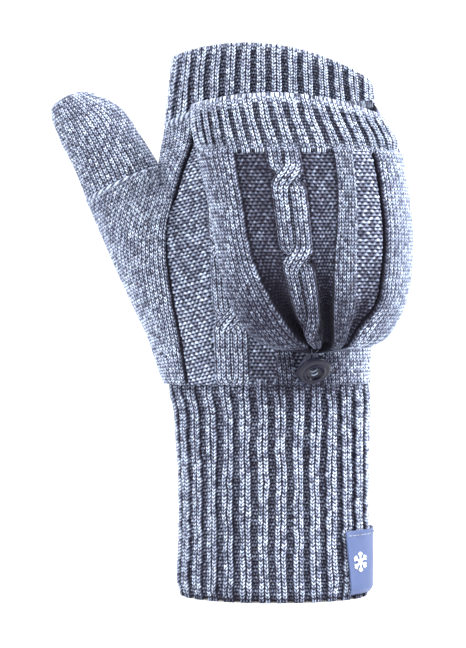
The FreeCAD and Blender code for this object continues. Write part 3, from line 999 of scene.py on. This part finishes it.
def path_frames(path, closed):
    """Side and up directions across a path, turning as little as they can."""
    if closed:
        ahead = np.roll(path, -1, axis=0) - np.roll(path, 1, axis=0)
    else:
        ahead = np.gradient(path, axis=0)
    ahead = ahead / np.linalg.norm(ahead, axis=1, keepdims=True)
    sides = np.empty_like(path)
    guess = UP if abs(ahead[0][2]) < 0.9 else np.array([1.0, 0.0, 0.0])
    for i, way in enumerate(ahead):
        guess = guess - way * np.dot(guess, way)
        guess = guess / np.linalg.norm(guess)
        sides[i] = guess
    return sides, np.cross(ahead, sides)


def yarn_ridge(name, path, radius, closed, twist_length=2.6, strands=2, around=14):
    """A twisted cord along a path: its surface carries the strands' turns."""
    run = run_along(*path.T)[:, None]
    sides, ups = path_frames(path, closed)
    angle = np.linspace(0, TURN, around, endpoint=False)[None, :]
    wave = np.abs(np.sin(strands * angle / 2 + math.pi * run / twist_length))
    swell = radius * (0.82 + 0.24 * wave**0.7)
    grid = (
        path[:, None]
        + (swell * np.cos(angle))[..., None] * sides[:, None]
        + (swell * np.sin(angle))[..., None] * ups[:, None]
    )
    # darker between the strands: painted shade, which the yarn materials read on the seams and the
    # tip's gather
    shade = 0.25 + 0.65 * wave
    if closed:
        return make_mesh(name, grid, grid_faces(len(path), around, True), shade)
    return closed_ends(name, grid, shade)


def make_seams():
    """The ridges where the thumb, the band and the cap's fold join the hand."""
    angle = np.linspace(0, TURN, 260, endpoint=False)[:, None]
    middle = THUMB_ROOT + (SEAM_AT + 0.3) * THUMB_UP - 6.0 * PALMWARD
    path = middle - 18.4 * np.cos(angle) * THUMB_ACROSS - 15.9 * np.sin(angle) * PALMWARD
    seam = yarn_ridge("thumb_seam_ridge", path, 0.8, True, 4.2)
    finish_piece(seam, EDGE_YARN, "hand", "seam_yarn", "thumb_seam")

    x, y = level_tube(BAND, 240.0, 420)[:, 0]
    path = np.stack([x, y, band_base(x) - 0.4], axis=-1)
    out = np.stack([x - BAND_X, (y - BAND_Y) * 4, 0 * x], axis=-1)
    path = path + 0.2 * out / np.linalg.norm(out, axis=1, keepdims=True)
    seam = yarn_ridge("band_seam_ridge", path, 1.35, True)
    finish_piece(seam, EDGE_YARN, "hand", "seam_yarn", "band_seam")

    x = np.linspace(-36, 45, 240)
    path = np.stack([x, np.full_like(x, FOLD_Y + 0.8), band_base(x) - 0.4], axis=-1)
    seam = yarn_ridge("cap_fold_ridge", path, 1.5, False)
    finish_piece(seam, EDGE_YARN, "hand", "seam_yarn", "cap_fold_seam")


# ---------------- button


BUTTON_AT = np.array([17.0, -35.0, 107.0])


def button_axes():
    """The button's own X, Y and Z in the frame: its face looks out of the hand and down."""
    tilt, roll = math.radians(46), math.radians(20)
    hinge = np.array([math.cos(roll), 0, math.sin(roll)])
    face = -math.cos(tilt) * PALMWARD - math.sin(tilt) * np.cross(hinge, PALMWARD)
    face = face / np.linalg.norm(face)
    side = hinge - face * np.dot(hinge, face)
    side = side / np.linalg.norm(side)
    return side, np.cross(face, side), face


def button_point(across, along, out):
    """A point at a place in the button's own axes, its middle at their origin."""
    side, up, face = button_axes()
    return (
        BUTTON_AT
        + np.asarray(across)[..., None] * side
        + np.asarray(along)[..., None] * up
        + np.asarray(out)[..., None] * face
    )


def lathe(name, profile, segments=96):
    """Turns a profile of (radius, height) about the button's axis, where both its ends lie."""
    angle = np.linspace(0, TURN, segments, endpoint=False)
    radius, height = np.transpose(profile)[..., None]
    grid = button_point(radius * np.cos(angle), radius * np.sin(angle), height + 0 * angle)
    return closed_ends(name, grid, np.full(grid.shape[:2], 0.6), (0.6, 0.6))


def rounded(corners, steps=5, reach=0.32):
    """A profile with its inner corners rounded by small curves."""
    corners = np.array(corners, float)
    out = [corners[0]]
    for before, at, after in zip(corners, corners[1:], corners[2:]):
        start, end = at + (before - at) * reach, at + (after - at) * reach
        for share in np.linspace(0, 1, steps):
            out.append((1 - share) ** 2 * start + 2 * share * (1 - share) * at + share**2 * end)
    out.append(corners[-1])
    return out


BUTTON_PROFILE = [
    (0.3, 0.0),
    (5.6, 0.0),
    (7.9, 0.8),
    (8.0, 2.0),
    (6.9, 2.95),
    (5.35, 2.8),
    (4.75, 3.6),
    (4.15, 3.5),
    (3.3, 2.1),
    (0.3, 1.9),
]


def make_button():
    """The disc: a rounded rim, a raised ring and a dished middle, with four thread holes, each
    shown by a dark plug of painted shade.
    """
    disc = lathe("button_disc", rounded(BUTTON_PROFILE))
    finish_piece(disc, BUTTON, "button", "button_plastic", "button")
    strands = []
    for row in (-1.1, 1.1):
        for shift in (-0.28, 0.28):
            start = button_point(-1.5, row + shift, 1.9)
            end = button_point(1.5, row - shift, 1.9)
            bow = button_point(0, row, 2.8)
            rise = button_point(0, 0, 0.3) - BUTTON_AT
            path = [start, (start + bow) / 2 + rise, bow, (end + bow) / 2 + rise, end]
            name = f"button_thread_{len(strands)}"
            strand = yarn_ridge(name, smooth_path(path, 20), 0.3, False, 0.8, around=8)
            strands.append(strand)
    finish_row(strands, THREAD, "button", "sewing_thread", "button_stitches")
    for number in range(4):
        turn = math.pi / 4 + number * math.pi / 2
        place = 1.9 * math.cos(turn), 1.9 * math.sin(turn)
        path = smooth_path([button_point(*place, 1.5), button_point(*place, 2.05)], 3)
        pit = yarn_ridge(f"button_hole_{number}", path, 0.62, False, 50, around=12)
        finish_piece(pit, HOLE_SHADE, "button", "button_plastic")


def make_shank():
    """The thread stem, wound from the fabric to just behind the button."""
    path = smooth_path([(17, -21.5, 107.0), (17, -26, 107.0), (17, -32.2, 107.3)], 40)
    stem = yarn_ridge("button_stem", path, 1.5, False, 1.1)
    finish_piece(stem, THREAD, "hand", "sewing_thread", "button_shank")


def make_loop():
    """The elastic loop: down from the cap's tip, round the stem and back, about 36 mm long."""
    centre = np.array([17.0, -28.2, 107.0])
    turn = np.radians(np.linspace(-62, 242, 60))
    ring = centre + 4.5 * np.stack([np.cos(turn), 0 * turn, -np.sin(turn)], axis=-1)
    start = [(17.7, -28.4, 115.8), (18.2, -28.3, 113.4)]
    end = [(15.8, -28.1, 113.4), (16.3, -28.0, 115.8)]
    path = smooth_path([*start, *ring[::4], *end], 120)
    loop = yarn_ridge("elastic_cord", path, 1.05, False, 1.4, 4)
    finish_piece(loop, ELASTIC, "cap", "elastic_cord", "elastic_loop")


def make_gather():
    """The knot of drawn-up stitches under the cap's tip."""
    turn = np.linspace(0, 2.6 * TURN, 130)
    done = turn / turn[-1]
    spread = 1 - 0.55 * done
    x, y = 17 + 6.0 * spread * np.cos(turn), -29.6 + 2.4 * spread * np.sin(turn)
    path = np.stack([x, y, 115.4 - 1.2 * done], axis=-1)
    knot = yarn_ridge("tip_gather", path, 0.9, False, 1.8)
    finish_piece(knot, YARN, "cap", "heather_knit", "cap_tip_gather")


# ---------------- label


LABEL_WIDTH, LABEL_HEIGHT = 33.0, 29.5
LABEL_LOW = 2.5
LABEL_TOP = LABEL_LOW + LABEL_HEIGHT
LABEL_FRONT = 32.0             # X of its front edge
CLEAR = 1.55                   # from the cuff's outline to the label's face
STITCH_ROW = LABEL_TOP - 2.1


def label_lean(u, v):
    """How far the label's front edge stands off the cuff, and how far it leans round it."""
    share = np.clip((v - LABEL_LOW) / LABEL_HEIGHT, 0, 1)
    loose = 1.5 * np.exp(-u / 4.0) * np.sin(np.pi * share) ** 0.7
    return loose, 3.0 * (1 - share) ** 1.6 * np.exp(-u / 10)


def label_point(u, v, above=0.0):
    """A point of the label: u is arc length from its front edge, v is height."""
    x, y = np.concatenate(ellipse_rows(CUFF, 18.0, 1999))
    run = run_along(x, y)
    loose, lean = label_lean(u, v)
    out = CLEAR + loose + above
    at = run[np.argmax((x > LABEL_FRONT) & (y < 0))] + u + lean
    px, py = np.interp(at, run, x), np.interp(at, run, y)
    ahead_x = np.interp(at, run, np.gradient(x, run))
    ahead_y = np.interp(at, run, np.gradient(y, run))
    return np.stack([px + ahead_y * out, py - ahead_x * out, v + 0 * px], axis=-1)


def make_ribbon():
    """A woven ribbon sewn round the side of the cuff."""
    columns, rows = 90, 96
    u = np.linspace(0, LABEL_WIDTH, columns)[None, :] + np.zeros((rows, 1))
    v = np.linspace(LABEL_LOW, LABEL_TOP, rows)[:, None] + np.zeros((1, columns))
    pucker = 0.18 * np.sin(u / 1.6) * bell(v - STITCH_ROW, 1.6)
    above = pucker + 0.12 * wobble(u / 5, v / 6) - 1.2 * ease(LABEL_LOW + 3.0, LABEL_LOW, v) ** 2
    grid = np.concatenate([label_point(u, v, above), label_point(u, v, above - 0.7)[::-1]])
    index = np.arange(2 * rows * columns).reshape(-1, columns)
    faces = [grid_faces(2 * rows, columns, True, False)]
    for column, flip in ((0, False), (columns - 1, True)):
        low, high = index[:rows, column], index[rows:, column][::-1]
        side = np.stack([low[:-1], low[1:], high[1:], high[:-1]], axis=-1)
        faces.append(side[:, ::-1] if flip else side)
    label = make_mesh("label_ribbon", grid, np.concatenate(faces), np.full(grid.shape[:2], 0.6))
    finish_piece(label, LABEL, "hand", "label_weave", "woven_label")


def make_label_stitches():
    """The row of stitches along the label's top."""
    rise = 0.35 * np.sin(np.pi * np.linspace(0, 1, 9))
    stitches = []
    for number in range(13):
        u = 1.0 + number * 2.35 + np.linspace(0, 1.7, 9)
        path = label_point(u, STITCH_ROW + 0 * u, rise)
        stitch = yarn_ridge(f"label_stitch_{number:02d}", path, 0.34, False, 0.9, around=8)
        stitches.append(stitch)
    finish_row(stitches, THREAD, "hand", "sewing_thread", "label_stitches")


def make_star():
    """A frost star on the label: six arms, each with a pair of short barbs."""
    middle = np.array([7.6, 17.5])

    def ray(length, turn):
        return length * np.array([math.cos(turn), math.sin(turn)])

    ends = []
    for turn in np.radians(90 + 60 * np.arange(6)):
        ends.append((middle, middle + ray(4.6, turn)))
        root = middle + ray(2.7, turn)
        for lean in (-math.radians(42), math.radians(42)):
            ends.append((root, root + ray(1.7, turn + lean)))
    bars = []
    for number, (start, end) in enumerate(ends):
        path = label_point(*np.linspace(start, end, 12).T, 0.12)
        bars.append(yarn_ridge(f"frost_star_{number:02d}", path, 0.46, False, 1.0, around=8))
    finish_row(bars, MOTIF, "hand", "label_motif", "label_motif")


# ---------------- camera, light and floor


def make_camera():
    data = bpy.data.cameras.new("camera")
    data.sensor_fit = "VERTICAL"
    data.sensor_height = 24
    data.lens = 59.1
    camera = add_object("camera", data)
    camera.location = (-0.0188, -0.75, 0.127)
    camera.rotation_euler = (math.radians(90), 0, 0)
    bpy.context.scene.camera = camera


def soft_light(name, place, size, power):
    """A softbox aimed at the middle of the hand."""
    data = bpy.data.lights.new(name, "AREA")
    data.shape = "RECTANGLE"
    data.size, data.size_y = size
    data.energy = power
    lamp = add_object(name, data)
    lamp.location = place
    aim = Vector((0, -0.02, 0.13)) - Vector(place)
    lamp.rotation_euler = aim.to_track_quat("-Z", "Y").to_euler()


def make_studio():
    """Softboxes on both sides, weaker ones in front and above, and a pale sweep of floor."""
    soft_light("left_box", (-0.56, -0.46, 0.56), (0.4, 0.4), 7.5)
    soft_light("right_box", (0.66, -0.22, 0.52), (0.35, 0.4), 16)
    soft_light("front_fill", (0.0, -0.75, 0.95), (0.4, 0.3), 3.4)
    soft_light("top_box", (0.0, -0.15, 0.9), (0.5, 0.5), 7)
    world = bpy.data.worlds.new("pale_room")
    world.use_nodes = True
    world.node_tree.nodes["Background"].inputs["Color"].default_value = (0.95, 0.97, 1, 1)
    world.node_tree.nodes["Background"].inputs["Strength"].default_value = 0.12
    bpy.context.scene.world = world
    bpy.context.scene.view_settings.view_transform = "Standard"

    floor, _ = start_material(
        "pale_floor",
        Base_Color=(0.92, 0.92, 0.92, 1),
        Roughness=0.9,
        Emission_Color=(1, 1, 1, 1),
        Emission_Strength=0.24,
    )
    turns = np.linspace(0, math.pi / 2, 24)
    sweep = [(0.8 + 0.6 * math.sin(turn), 0.6 - 0.6 * math.cos(turn)) for turn in turns]
    profile = [(-3.0, 0.0), *sweep, (1.4, 3.0)]
    points = [(x, y, z - 0.0002) for y, z in profile for x in (-4.0, 4.0)]
    faces = [(2 * i, 2 * i + 1, 2 * i + 3, 2 * i + 2) for i in range(len(profile) - 1)]
    mesh = bpy.data.meshes.new("floor")
    mesh.from_pydata(points, [], faces)
    mesh.polygons.foreach_set("use_smooth", np.ones(len(faces), bool))
    mesh.materials.append(floor)
    add_object("floor", mesh)


# ---------------- making


make_camera()
make_studio()
make_cuff()
make_hand()
make_thumb()
band = make_band()
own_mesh(band)
make_cap()
make_hem()
make_seams()
make_gather()
make_loop()
make_button()
make_shank()
make_ribbon()
make_label_stitches()
make_star()
